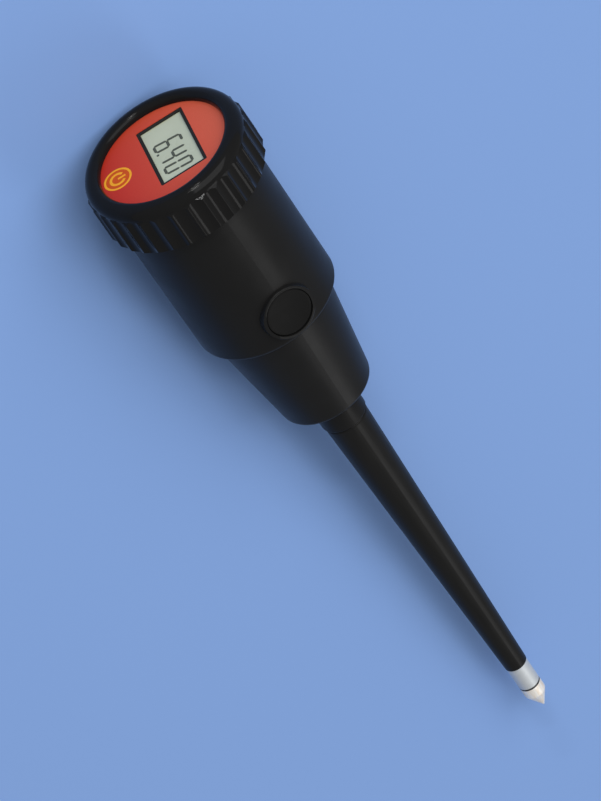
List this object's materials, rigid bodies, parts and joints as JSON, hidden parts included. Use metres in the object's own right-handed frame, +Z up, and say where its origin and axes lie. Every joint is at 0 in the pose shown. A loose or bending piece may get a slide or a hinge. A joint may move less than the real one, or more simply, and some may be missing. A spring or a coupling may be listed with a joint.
{
  "type": "soil pH meter",
  "caption": "Hand-held soil pH meter with a round display head, ribbed bezel ring, side button, conical lower housing and long tapered probe with a ring and a tip electrode.",
  "frame": {"origin": "on the table under the middle of the meter's bounding box, the meter lying on its side", "axes": "+Z up; head towards -X and tip towards +X, the axis falling 3.75 degrees towards the tip; side button up"},
  "size_m": [0.296, 0.0604, 0.0611],
  "materials": {
    "tip_metal": "turned, warm white metal",
    "silver_metal": "bright turned ring",
    "black_resin": "black insulating resin",
    "tube_black": "black, semi-gloss",
    "housing_black": "black moulded plastic, semi-gloss",
    "bezel_black": "black moulded plastic, semi-gloss",
    "button_black": "black moulded plastic",
    "plate_black": "black, matt",
    "cradle_black": "black, matt",
    "switch_black": "black, matt",
    "white_resin": "white, matt",
    "label_red": "red printed film",
    "display_cell": "grey-green display glass",
    "strip_grey": "striped contact rubber",
    "seal_rubber": "black rubber",
    "clear_sleeve": "translucent sleeve",
    "lead_red": "red wire insulation",
    "lead_black": "black wire insulation",
    "board_green": "green circuit board",
    "battery_case": "thin printed metal jacket",
    "brass": "plain brass",
    "gold_contact": "gold-plated pins",
    "steel": "plain steel"
  },
  "bodies": {
    "housing": {"tip_electrode": "tip_metal", "insulating_bush": "black_resin", "ferrule_electrode": "silver_metal", "probe_tube": "tube_black", "conductor_rod": "brass", "conductor_sleeve": "clear_sleeve", "ferrule_lead": "lead_red", "tip_lead": "lead_black", "lower_housing": "housing_black", "neck_seal": "seal_rubber", "clamp_washer": "steel", "clamp_nut": "brass", "housing_screws": "steel", "barrel": "housing_black", "rim_gasket": "seal_rubber", "side_switch": "switch_black", "switch_board": "board_green", "switch_board_screws": "steel", "switch_leads": "lead_black", "battery_cradle": "cradle_black", "battery": "battery_case", "battery_snap": "switch_black", "battery_leads": "lead_red", "contact_board": "board_green", "contact_board_screws": "steel", "contact_pins": "gold_contact"},
    "display_unit": {"main_board": "board_green", "controller_chip": "switch_black", "board_screws": "steel", "lcd_glass": "display_cell", "zebra_strips": "strip_grey", "face_plate": "plate_black", "label_film": "label_red", "power_switch": "switch_black"},
    "bezel": {"bezel_ring": "bezel_black", "retaining_ring": "steel"},
    "side_button": {"side_button": "button_black", "switch_plunger": "white_resin"},
    "power_key": {"power_key": "white_resin"}
  },
  "joints": [
    {"name": "display_lift", "type": "slide", "parent": "housing", "child": "display_unit", "axis": [-0.9979, 0, 0.0654], "range_m": [0, 0.00625]},
    {"name": "bezel_turn", "type": "hinge", "parent": "display_unit", "child": "bezel", "pos_m": [-0.13139, 0, 0.03034], "axis": [-0.9979, 0, 0.0654], "range_deg": [0, 900]},
    {"name": "side_button_press", "type": "slide", "parent": "housing", "child": "side_button", "axis": [-0.0654, 0, -0.9979], "range_m": [0, 0.0012], "stiffness_N_per_m": 1500, "springref_m": -0.0006},
    {"name": "power_key_press", "type": "slide", "parent": "display_unit", "child": "power_key", "axis": [0.9979, 0, -0.0654], "range_m": [0, 0.0003], "stiffness_N_per_m": 3000, "springref_m": -0.0002}
  ],
  "couplings": [
    {"joint": "bezel_turn", "follows": "display_lift", "rad_per_m": 2513.2}
  ]
}
